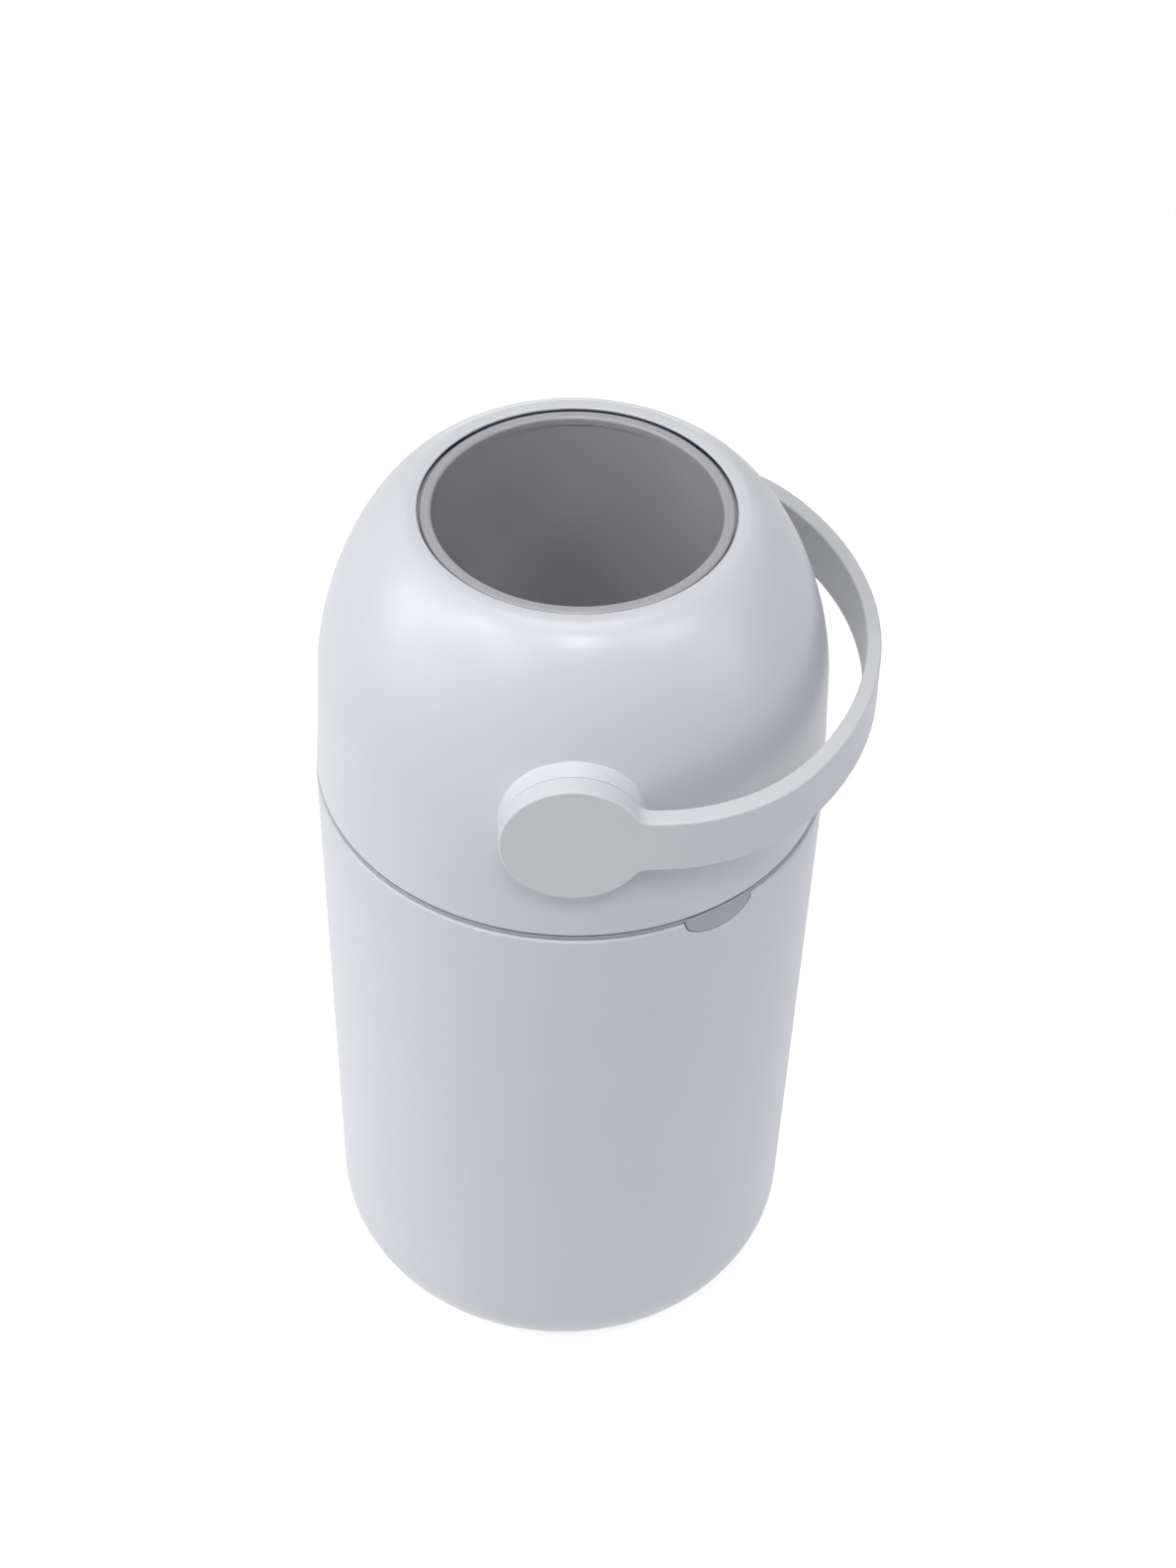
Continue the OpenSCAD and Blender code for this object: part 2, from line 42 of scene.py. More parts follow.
# Driving sizes in millimetres, the same as in the CAD
SEAM_R, SEAM_H, PAIL_PROUD, BASE_LEAN = 125.0, 338.0, 0.6, 8.2
PAIL_WALL, BASE_ROUND, RIM_ROUND, RIM_INNER_ROUND = 3.0, 40.0, 1.4, 0.5
FOOT_MARGIN, FOOT_PROUD, FOOT_SUNK, FOOT_FIT = 8.4, 1.0, 1.5, 0.05
SEAM_GAP, RING_T, RING_EDGE_ROUND, RING_SETBACK = 1.5, 1.3, 0.3, 0.6
BAG_SLOT, SLOT_DEPTH = 1.0, 0.9
SKIRT_H, SKIRT_T, COLLAR_H, COLLAR_T, COLLAR_BEVEL = 25.0, 2.0, 8.0, 2.0, 0.5
TAB_W, TAB_H, TAB_ANGLE, TAB_GAP, TAB_SETBACK, TAB_ROUND = 37.4, 10.1, 34.5, 0.6, 0.2, 0.3
SHOULDER_RISE, DOME_LEAN, DOME_WALL, TOP_WALL, TOP_FLAT = 62.0, 2.05, 3.0, 2.4, 4.8
DOME_POWER, DOME_RISE, PIVOT_RISE, DOME_EDGE_ROUND = 1.6, 156.5, 69.0, 1.0
OPENING_ROUND, OPENING_EDGE, OPENING_UNDERCUT = 0.5, 0.9, 1.5
HUB_R, HUB_T, HUB_GAP, BOSS_PROUD, BEARING_DEPTH, DRUM_GAP = 34.0, 10.0, 0.4, 0.36, 11.77, 0.8
BOSS_FLARE, BOSS_SUNK = 0.8, 1.0
FAR_BULGE, ARM_STRAIGHT, ARM_W, BAIL_T = 12.0, 36.0, 29.6, 7.2
OUTER_CROWN, INNER_CROWN, NECK_ROUND, EDGE_ROUND, JOINT_ROUND = 13.6, 12.4, 8.0, 1.2, 0.2
LIP_GAP, LIP_DROP, LIP_W, LIP_H, STOP_W = 1.2, 0.75, 5.6, 4.25, 0.6
LIP_OUTER_ROUND, LIP_INNER_ROUND, TUBE_WALL, REBATE_H = 1.5, 1.5, 2.4, 6.0
SNAP_SIDE_FIT, SNAP_TOP_FIT = 0.05, 0.1
CARRIER_TOP, CARRIER_FIT, CARRIER_WALL, COLLAR_GAP, RING_FIT = 23.0, 0.3, 2.6, 0.8, 0.5

# Heights and radii worked out from them

DRAFT = math.atan(BASE_LEAN / SEAM_H)


def pail_line(z, inset=0.0):
    """Radius of the pail's wall line at a height, less a wall measured square to it."""
    return SEAM_R + PAIL_PROUD - (SEAM_H - z) * math.tan(DRAFT) - inset / math.cos(DRAFT)


def dome_line(z):
    """Radius of the dome's side wall at a height below the shoulder."""
    return SEAM_R - DOME_LEAN * (z - SEAM_H) / SHOULDER_RISE


RING_TOP = SEAM_H - SEAM_GAP
RIM_H = RING_TOP - RING_T - BAG_SLOT
RING_EDGE_R = SEAM_R - RING_SETBACK
SHOULDER_H, SHOULDER_R = SEAM_H + SHOULDER_RISE, SEAM_R - DOME_LEAN
PIVOT_H = SEAM_H + PIVOT_RISE
BOSS_FACE = dome_line(PIVOT_H - HUB_R) + BOSS_PROUD
HUB_BACK = BOSS_FACE + HUB_GAP
HUB_FACE = HUB_BACK + HUB_T
REACH = HUB_FACE + FAR_BULGE
BALL_R = BOSS_FACE - BEARING_DEPTH + DRUM_GAP
TOP_H = SEAM_H + DOME_RISE
OPENING_R = math.sqrt(BALL_R ** 2 - (DOME_RISE - TOP_WALL - PIVOT_RISE) ** 2)
FLAT_R = OPENING_R + TOP_FLAT
TUBE_HALF = TOP_H - LIP_DROP - LIP_H - PIVOT_H
LIP_R = OPENING_R - LIP_GAP
LIP_IN_R = LIP_R - LIP_W
BORE_R = LIP_IN_R + STOP_W
TUBE_R = BORE_R + TUBE_WALL
BASE_CORNER_H = FOOT_PROUD + BASE_ROUND
BASE_CORNER_R = pail_line(BASE_CORNER_H, BASE_ROUND)
FOOT_R = BASE_CORNER_R - FOOT_MARGIN
SKIRT_R = pail_line(RIM_H - SKIRT_H, PAIL_WALL) - RING_FIT
COLLAR_R = dome_line(SEAM_H + CARRIER_TOP) - DOME_WALL - CARRIER_FIT - CARRIER_WALL - COLLAR_GAP

# How finely round forms are drawn, and the heights of the straight walls' rows of points
TURNS, HUB_TURNS, BOSS_RINGS = 192, 160, 12
PAIL_ROWS, DOME_ROWS = (90, 140, 190, 240, 290), (352, 364, 376, 388)
# How far apart two points still are one, and how near a picked point or edge has to lie
WELD, PICK, PICK_WIDE = 0.002, 0.02, 0.1


# Tools

def clear_selection():
    """Nothing is selected any more."""
    bpy.ops.object.select_all(action="DESELECT")


def take(piece):
    """Selects one object alone and makes it active."""
    clear_selection()
    piece.select_set(True)
    bpy.context.view_layer.objects.active = piece


def editing(piece):
    """Opens one object in edit mode, to be worked on by its vertices."""
    take(piece)
    bpy.ops.object.mode_set(mode="EDIT")
    bpy.ops.mesh.select_mode(type="VERT")


def done():
    """Leaves edit mode."""
    bpy.ops.object.mode_set(mode="OBJECT")


def shift(step):
    """Setting of an extrude operator that moves what it has made by so many millimetres."""
    return {"value": [c * MM for c in step]}


def trace(name, points):
    """Draws a line in space: one vertex, extruded from point to point. Points in millimetres."""
    clear_selection()
    bpy.ops.mesh.primitive_plane_add(size=MM, location=(0, 0, 0))
    piece = bpy.context.object
    piece.name = name
    editing(piece)
    bpy.ops.mesh.select_all(action="SELECT")
    bpy.ops.mesh.merge(type="CENTER")
    bpy.ops.transform.translate(value=[c * MM for c in points[0]])
    for a, b in zip(points, points[1:]):
        step = [q - p for p, q in zip(a, b)]
        bpy.ops.mesh.extrude_vertices_move(TRANSFORM_OT_translate=shift(step))
    done()
    return piece


def outward(piece):
    """Welds what lies on one spot and turns every face outward."""
    editing(piece)
    bpy.ops.mesh.select_all(action="SELECT")
    bpy.ops.mesh.remove_doubles(threshold=WELD * MM)
    bpy.ops.mesh.normals_make_consistent(inside=False)
    done()


def turned(name, profile):
    """Lathe: a closed profile of (radius, height) in millimetres spun round the upright axis."""
    piece = trace(name, [(r, 0, z) for r, z in profile + profile[:1]])
    editing(piece)
    bpy.ops.mesh.select_all(action="SELECT")
    bpy.ops.mesh.remove_doubles(threshold=WELD * MM)
    bpy.ops.mesh.spin(steps=TURNS, angle=2 * math.pi, center=(0, 0, 0), axis=(0, 0, 1))
    done()
    outward(piece)
    return piece


def plate(name, outline, thickness):
    """Flat outline in space, filled and extruded by a vector. Millimetres."""
    piece = trace(name, list(outline) + [outline[0]])
    editing(piece)
    bpy.ops.mesh.select_all(action="SELECT")
    bpy.ops.mesh.remove_doubles(threshold=WELD * MM)
    bpy.ops.mesh.edge_face_add()
    bpy.ops.mesh.extrude_region_move(TRANSFORM_OT_translate=shift(thickness))
    done()
    outward(piece)
    return piece


def join(piece, other):
    """Makes a second object part of the first one's mesh."""
    take(piece)
    other.select_set(True)
    bpy.ops.object.join()


def apply_modifier(piece, kind, **settings):
    """Adds a modifier with its settings and applies it."""
    take(piece)
    modifier = piece.modifiers.new(kind.title(), kind)
    for key, value in settings.items():
        setattr(modifier, key, value)
    bpy.ops.object.modifier_apply(modifier=modifier.name)


def combine(piece, tool, operation):
    """Boolean with a second mesh, which is used up."""
    apply_modifier(piece, "BOOLEAN", operation=operation, solver="EXACT", object=tool)
    bpy.data.objects.remove(tool)


def soften(piece, width):
    """Rounds every sharp edge."""
    apply_modifier(piece, "BEVEL", width=width * MM, segments=3, limit_method="ANGLE",
                   angle_limit=math.radians(40), use_clamp_overlap=True)


def smooth(piece, angle=40):
    """Shades smoothly across all edges but those sharper than an angle."""
    take(piece)
    bpy.ops.object.shade_smooth_by_angle(angle=math.radians(angle))


def even_normals(piece):
    """Keeps flat faces flat to the eye between their rounded edges."""
    apply_modifier(piece, "WEIGHTED_NORMAL", keep_sharp=True, weight=50)


def select_where(piece, kind, test):
    """In edit mode, selects the vertices, edges or faces that pass a test of their centre, in
    millimetres, and their normal, which edges don't have."""
    bpy.ops.mesh.select_mode(type=kind)
    bpy.ops.mesh.select_all(action="DESELECT")
    done()
    items = {"VERT": piece.data.vertices, "EDGE": piece.data.edges, "FACE": piece.data.polygons}[kind]
    for item in items:
        if kind == "VERT":
            item.select = test(item.co / MM, item.normal)
        elif kind == "FACE":
            item.select = test(item.center / MM, item.normal)
        else:
            ends = [piece.data.vertices[i].co for i in item.vertices]
            item.select = test((ends[0] + ends[1]) / 2 / MM, None)
    bpy.ops.object.mode_set(mode="EDIT")


def arc(centre, radius, start, end, steps):
    """Points of an arc from one angle to another, in degrees."""
    return [(centre[0] + radius * math.cos(math.radians(start + (end - start) * i / steps)),
             centre[1] + radius * math.sin(math.radians(start + (end - start) * i / steps)))
            for i in range(steps + 1)]


def shoulder(centre, a, b, steps):
    """Quarter of a superellipse from the dome's side up to its top."""
    points = []
    for i in range(steps + 1):
        t = math.radians(90 * i / steps)
        points.append((centre[0] + a * max(0.0, math.cos(t)) ** (2 / DOME_POWER),
                       centre[1] + b * math.sin(t) ** (2 / DOME_POWER)))
    return points


# Materials

def linear(code):
    """sRGB hex colour as linear RGBA."""
    parts = [int(code[i:i + 2], 16) / 255 for i in (1, 3, 5)]
    return [c / 12.92 if c <= 0.04045 else ((c + 0.055) / 1.055) ** 2.4 for c in parts] + [1.0]


def add_node(tree, kind, settings=None, **inputs):
    """Adds a node. An input goes by its name, or by _ and its number, and gets a value or a link
    from another node's socket."""
    node = tree.nodes.new(kind)
    for key, value in (settings or {}).items():
        setattr(node, key, value)
    for key, value in inputs.items():
        socket = node.inputs[int(key[1:])] if key[0] == "_" else node.inputs[key.replace("_", " ")]
        if isinstance(value, bpy.types.NodeSocket):
            tree.links.new(value, socket)
        else:
            socket.default_value = value
    return node


def new_material(name):
    """Empty material, its node tree and the place on the object that its patterns follow."""
    material = bpy.data.materials.new(name)
    material.use_nodes = True
    tree = material.node_tree
    tree.nodes.clear()
    return material, tree, add_node(tree, "ShaderNodeTexCoord").outputs["Object"]


def noise(tree, place, size_mm, detail, roughness=0.5):
    """Noise whose marks are about so many millimetres wide."""
    return add_node(tree, "ShaderNodeTexNoise", Vector=place, Scale=1 / (size_mm * MM), Detail=detail,
                    Roughness=roughness).outputs["Fac"]


def spread_over(tree, value, low, high):
    """Maps the middle stretch of a noise to the range from low to high."""
    return add_node(tree, "ShaderNodeMapRange", _0=value, _1=0.3, _2=0.7, _3=low, _4=high).outputs[0]


def moulded(name, colour, roughness, ior=1.49, grain_depth=0.010):
    """Moulded plastic: slow drift of shade and gloss from the flow of the melt, and the fine grain
    of the mould's spark-eroded face, drawn a little coarser than real so that it shows."""
    flow_mm, gloss_mm, grain_mm, shade, spread = 70.0, 24.0, 0.5, 0.02, 0.04
    material, tree, place = new_material(name)
    tone = spread_over(tree, noise(tree, place, flow_mm, 3.0), 1 - shade, 1.0)
    grey = add_node(tree, "ShaderNodeCombineColor", Red=tone, Green=tone, Blue=tone).outputs[0]
    base = add_node(tree, "ShaderNodeMix", {"data_type": "RGBA", "blend_type": "MULTIPLY"},
                    _0=1.0, _6=linear(colour), _7=grey).outputs[2]
    rough = spread_over(tree, noise(tree, place, gloss_mm, 4.0, 0.6), roughness - spread / 2,
                        roughness + spread / 2)
    bump = add_node(tree, "ShaderNodeBump", Strength=0.35, Distance=grain_depth * MM,
                    Height=noise(tree, place, grain_mm, 2.0, 0.6)).outputs[0]
    shader = add_node(tree, "ShaderNodeBsdfPrincipled", Base_Color=base, Roughness=rough, IOR=ior,
                      Normal=bump).outputs[0]
    add_node(tree, "ShaderNodeOutputMaterial", Surface=shader)
    return material


# Body and dome: ABS in a cool pale grey with a fine satin finish
shell_abs = moulded("satin_abs_pale_grey", "#d7d8da", 0.33, ior=1.54)
# Handle: the same plastic in a slightly warmer grey, a touch more matt
handle_abs = moulded("satin_abs_handle_grey", "#d7d7d8", 0.40, ior=1.54)
# Bag ring and tab: polypropylene in mid grey
ring_pp = moulded("satin_pp_mid_grey", "#afafb2", 0.44)
# Tube and lips: polypropylene in a warm mid grey
tube_pp = moulded("satin_pp_tube_grey", "#aaa9ab", 0.24)
# Drum, carrier and piston: unpolished ABS inside the lid
drum_abs = moulded("plain_abs_drum", "#c4c8cc", 0.5)
inner_abs = moulded("plain_abs_inner", "#b6babf", 0.52)
# Bearings: natural acetal, slightly waxy
bush_pom = moulded("acetal_natural", "#eeeade", 0.36, grain_depth=0.004)


def rubber(name, colour, bloom_colour):
    """Moulded rubber: matt, with a dusty bloom and a coarse skin."""
    bloom_mm, skin_mm, skin_depth = 9.0, 0.8, 0.03
    material, tree, place = new_material(name)
    shades = add_node(tree, "ShaderNodeMix", {"data_type": "RGBA"}, _0=noise(tree, place, bloom_mm, 5.0),
                      _6=linear(colour), _7=linear(bloom_colour)).outputs[2]
    bump = add_node(tree, "ShaderNodeBump", Strength=0.5, Distance=skin_depth * MM,
                    Height=noise(tree, place, skin_mm, 3.0)).outputs[0]
    shader = add_node(tree, "ShaderNodeBsdfPrincipled", Base_Color=shades, Roughness=0.75,
                      Normal=bump).outputs[0]
    add_node(tree, "ShaderNodeOutputMaterial", Surface=shader)
    return material


def plated_steel(name, colour):
    """Plated screws: pale metal with a fine turned sheen."""
    turning_mm = 0.4
    material, tree, place = new_material(name)
    rough = add_node(tree, "ShaderNodeMapRange", _0=noise(tree, place, turning_mm, 4.0), _3=0.24,
                     _4=0.4).outputs[0]
    shader = add_node(tree, "ShaderNodeBsdfPrincipled", Base_Color=linear(colour), Metallic=1.0,
                      Roughness=rough).outputs[0]
    add_node(tree, "ShaderNodeOutputMaterial", Surface=shader)
    return material


# Seals and foot pad: dark rubber
seal_rubber = rubber("moulded_rubber_dark", "#55575b", "#6b6d71")
# Screws: zinc-plated steel
screw_steel = plated_steel("zinc_plated_steel", "#b4b7ba")

CAD_FINISH = {
    "pail_body": shell_abs, "dome_shell": shell_abs, "handle_bail": handle_abs, "bag_ring": ring_pp,
    "load_tube": tube_pp, "tube_lip": tube_pp, "drum_upper": drum_abs, "drum_lower": drum_abs,
    "drum_carrier": inner_abs, "piston": inner_abs, "foot_pad": seal_rubber, "opening_seal": seal_rubber,
    "drum_wiper": seal_rubber, "lid_seal": seal_rubber, "piston_seal": seal_rubber,
    "carrier_screws": screw_steel, "axle_screws": screw_steel, "bush_front": bush_pom,
    "bush_rear": bush_pom, "hub_washer_front": bush_pom, "hub_washer_rear": bush_pom,
    "axle_front": bush_pom, "axle_rear": bush_pom}
for node_name, finish in CAD_FINISH.items():
    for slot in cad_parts[node_name].material_slots:
        slot.material = finish


def dress(piece, finish, body, node):
    """Gives a finished piece its material, its body and the CAD node that it stands for."""
    piece.data.materials.clear()
    piece.data.materials.append(finish)
    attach(piece, body)
    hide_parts(node)


# Camera

# As solved from the seam and the opening: millimetres, degrees, and the lens in the photo's pixels
CAMERA_AT = (-19.9, -1279.4, 1551.5)
PITCH, YAW, ROLL = (math.radians(a) for a in (43.976, -1.287, 1.796))
FOCAL_PX, PHOTO_HEIGHT_PX, SENSOR = 3612.0, 1584.0, 36.0
forward = Vector((0, math.cos(PITCH), -math.sin(PITCH)))
right = Vector((1, 0, 0))
up = right.cross(forward)
turn = Matrix.Rotation(YAW, 3, "Z")
forward, right, up = turn @ forward, turn @ right, turn @ up
right, up = (right * math.cos(ROLL) + up * math.sin(ROLL), up * math.cos(ROLL) - right * math.sin(ROLL))
lens = bpy.data.cameras.new("camera")
lens.sensor_width = SENSOR
lens.lens = FOCAL_PX * SENSOR / PHOTO_HEIGHT_PX
lens.clip_end = 20.0
camera = bpy.data.objects.new("camera", lens)
bpy.context.scene.collection.objects.link(camera)
columns = (right, up, -forward, Vector(CAMERA_AT) * MM)
camera.matrix_world = Matrix([[c[i] for c in columns] for i in range(3)] + [[0, 0, 0, 1]])
bpy.context.scene.camera = camera


# Pail

def tab_plate(name, grow):
    """Half-oval of the pull tab, grown by a gap: a thick plate that stands square through the wall."""
    reach_in, depth = 0.8 * SEAM_R, 36.0
    angle = math.radians(TAB_ANGLE - 90)
    out = (math.cos(angle), math.sin(angle))
    side = (-out[1], out[0])
    top = RING_TOP - RIM_H + grow
    flat = [(TAB_W / 2 + grow, top)]
    flat += [((TAB_W / 2 + grow) * x, -(TAB_H + grow) * y) for x, y in arc((0, 0), 1, 0, 180, 32)]
    flat.append((-TAB_W / 2 - grow, top))
    outline = [(side[0] * u + out[0] * reach_in, side[1] * u + out[1] * reach_in, RIM_H + v)
               for u, v in flat]
    return plate(name, outline, (out[0] * depth, out[1] * depth, 0))


def make_pail():
    """Round pail with its rim, base corner and foot recess, and the notch for the tab."""
    corner = (BASE_CORNER_R, BASE_CORNER_H)
    rim = (pail_line(RIM_H - RIM_ROUND, RIM_ROUND), RIM_H - RIM_ROUND)
    inner_rim = (pail_line(RIM_H, PAIL_WALL) + RIM_INNER_ROUND, RIM_H - RIM_INNER_ROUND)
    foot_r = FOOT_R + FOOT_FIT
    draft = math.degrees(DRAFT)
    side = [(pail_line(z), z) for z in PAIL_ROWS]
    profile = ([(0, FOOT_PROUD + FOOT_SUNK), (foot_r, FOOT_PROUD + FOOT_SUNK), (foot_r, FOOT_PROUD)]
               + arc(corner, BASE_ROUND, -90, -draft, 28) + side
               + arc(rim, RIM_ROUND, 0, 90, 8) + arc(inner_rim, RIM_INNER_ROUND, 90, 180, 4)
               + [(pail_line(z, PAIL_WALL), z) for z in PAIL_ROWS[::-2]]
               + arc(corner, BASE_ROUND - PAIL_WALL, -draft, -90, 20) + [(0, FOOT_PROUD + PAIL_WALL)])
    piece = turned("pail_shell", profile)
    combine(piece, tab_plate("tab_notch", TAB_GAP), "DIFFERENCE")
    smooth(piece)
    dress(piece, shell_abs, "pail", "pail_body")


# Bag ring with its tab

def make_ring():
    """Bag ring: skirt, slot, outer edge and collar as one profile, and the pull tab."""
    edge, bevel = RING_EDGE_ROUND, COLLAR_BEVEL
    slot_r, slot_h = RING_EDGE_R - SLOT_DEPTH, RIM_H + BAG_SLOT
    collar_h, collar_in_r = RING_TOP + COLLAR_H, COLLAR_R - COLLAR_T
    profile = [(SKIRT_R - SKIRT_T, RIM_H - SKIRT_H), (SKIRT_R, RIM_H - SKIRT_H), (SKIRT_R, RIM_H),
               (slot_r, RIM_H), (slot_r, slot_h), (RING_EDGE_R - edge, slot_h)]
    profile += arc((RING_EDGE_R - edge, slot_h + edge), edge, -90, 0, 4)
    profile += arc((RING_EDGE_R - edge, RING_TOP - edge), edge, 0, 90, 4)
    profile += [(COLLAR_R, RING_TOP), (COLLAR_R, collar_h - bevel), (COLLAR_R - bevel, collar_h),
                (collar_in_r + bevel, collar_h), (collar_in_r, collar_h - bevel), (collar_in_r, RIM_H),
                (SKIRT_R - SKIRT_T, RIM_H)]
    piece = turned("bag_ring_band", profile)
    # The tab fills the notch and follows the pail's wall, a little behind its face
    overrun = 1.0
    below = RIM_H - TAB_H - overrun
    back_r, face_r = (pail_line(RIM_H - TAB_H, inset) for inset in (PAIL_WALL, TAB_SETBACK))
    wall = turned("tab_wall", [(back_r, below), (face_r, below), (pail_line(RIM_H, TAB_SETBACK), RIM_H),
                               (RING_EDGE_R, RING_TOP), (back_r, RING_TOP)])
    tab = tab_plate("tab", 0)
    combine(tab, wall, "INTERSECT")
    soften(tab, TAB_ROUND)
    join(piece, tab)
    smooth(piece)
    dress(piece, ring_pp, "ring", "bag_ring")


# Dome with its bosses

def make_boss(dome):
    """The front boss: a disc laid on the dome's surface and sunk into the wall, whose rim is drawn
    back out to the surface and on to a flat face."""
    before = (0, -1.3 * SEAM_R * MM, PIVOT_H * MM)
    clear_selection()
    bpy.ops.mesh.primitive_circle_add(vertices=HUB_TURNS, radius=(HUB_R + BOSS_FLARE) * MM, location=before,
                                      rotation=(math.pi / 2, 0, 0))
    boss = bpy.context.object
    boss.name = "boss"
    bpy.ops.object.transform_apply(location=True, rotation=True, scale=True)
    editing(boss)
    bpy.ops.mesh.select_all(action="SELECT")
    for i in range(BOSS_RINGS, 1, -1):
        bpy.ops.mesh.extrude_edges_move(TRANSFORM_OT_translate=shift((0, 0, 0)))
        bpy.ops.transform.resize(value=[(i - 1) / i] * 3, center_override=before)
    bpy.ops.mesh.edge_face_add()
    done()
    apply_modifier(boss, "SHRINKWRAP", target=dome, wrap_method="PROJECT", use_project_y=True,
                   use_project_x=False, use_project_z=False, use_positive_direction=True,
                   use_negative_direction=False)
    editing(boss)
    bpy.ops.mesh.select_all(action="SELECT")
    bpy.ops.transform.translate(value=(0, BOSS_SUNK * MM, 0))
    rim = HUB_R + BOSS_FLARE - PICK_WIDE
    select_where(boss, "EDGE", lambda c, n: (c.xz - Vector((0, PIVOT_H))).length > rim)
    bpy.ops.mesh.extrude_edges_move(TRANSFORM_OT_translate=shift((0, -BOSS_SUNK, 0)))
    # Each step: how far outside the hub's radius, and which share of the rise to the face is left
    centre = (0, -BOSS_FACE * MM, PIVOT_H * MM)
    rings = [(BOSS_FLARE, 1.0), (0.5 * BOSS_FLARE, 0.95), (0.3 * BOSS_FLARE, 0.88), (0, 0.04),
             (-JOINT_ROUND, 0.0)]
    for (rho, height), (next_rho, next_height) in zip(rings, rings[1:]):
        wide = (HUB_R + next_rho) / (HUB_R + rho)
        bpy.ops.mesh.extrude_edges_move(TRANSFORM_OT_translate=shift((0, 0, 0)))
        bpy.ops.transform.resize(value=(wide, next_height / height, wide), center_override=centre)
    bpy.ops.mesh.edge_face_add()
    done()
    outward(boss)
    return boss


def make_dome():
    """Dome lid as one profile, with a boss on either side."""
    a, b = SHOULDER_R - FLAT_R, TOP_H - SHOULDER_H
    edge_r, edge_h = SEAM_R - DOME_EDGE_ROUND, SEAM_H + DOME_EDGE_ROUND
    outer = (arc((edge_r, edge_h), DOME_EDGE_ROUND, -90, 0, 6)
             + [(dome_line(z), z) for z in DOME_ROWS]
             + shoulder((FLAT_R, SHOULDER_H), a, b, 56))
    rim = arc((OPENING_R + OPENING_ROUND, TOP_H - OPENING_ROUND), OPENING_ROUND, 90, 180, 4)
    undercut_r = OPENING_R + OPENING_UNDERCUT
    rim += [(OPENING_R, TOP_H - OPENING_EDGE), (undercut_r, TOP_H - OPENING_EDGE),
            (undercut_r, TOP_H - TOP_WALL)]
    inner = shoulder((FLAT_R, SHOULDER_H), a - DOME_WALL, b - TOP_WALL, 28)
    piece = turned("dome", outer + rim + inner[::-1] + [(SEAM_R - DOME_WALL, SEAM_H)])
    boss = make_boss(piece)
    apply_modifier(boss, "MIRROR", use_axis=(False, True, False), use_mirror_merge=False)
    outward(boss)
    join(piece, boss)
    smooth(piece)
    dress(piece, shell_abs, "lid", "dome_shell")


# Handle

def band_edge(far, side, crown, corner_steps=30, far_steps=26):
    """Front half of one edge of the band seen from above, from the arm's end to the far middle."""
    run = far - ARM_STRAIGHT
    corner = run - crown
    far_r = (run ** 2 + side ** 2 - 2 * side * corner) / (2 * (run - corner))
    bend = math.degrees(math.atan2(side - corner, ARM_STRAIGHT - (far - far_r)))
    return (arc((ARM_STRAIGHT, corner - side), corner, -90, -bend, corner_steps)
            + arc((far - far_r, 0), far_r, -bend, 0, far_steps)[1:])


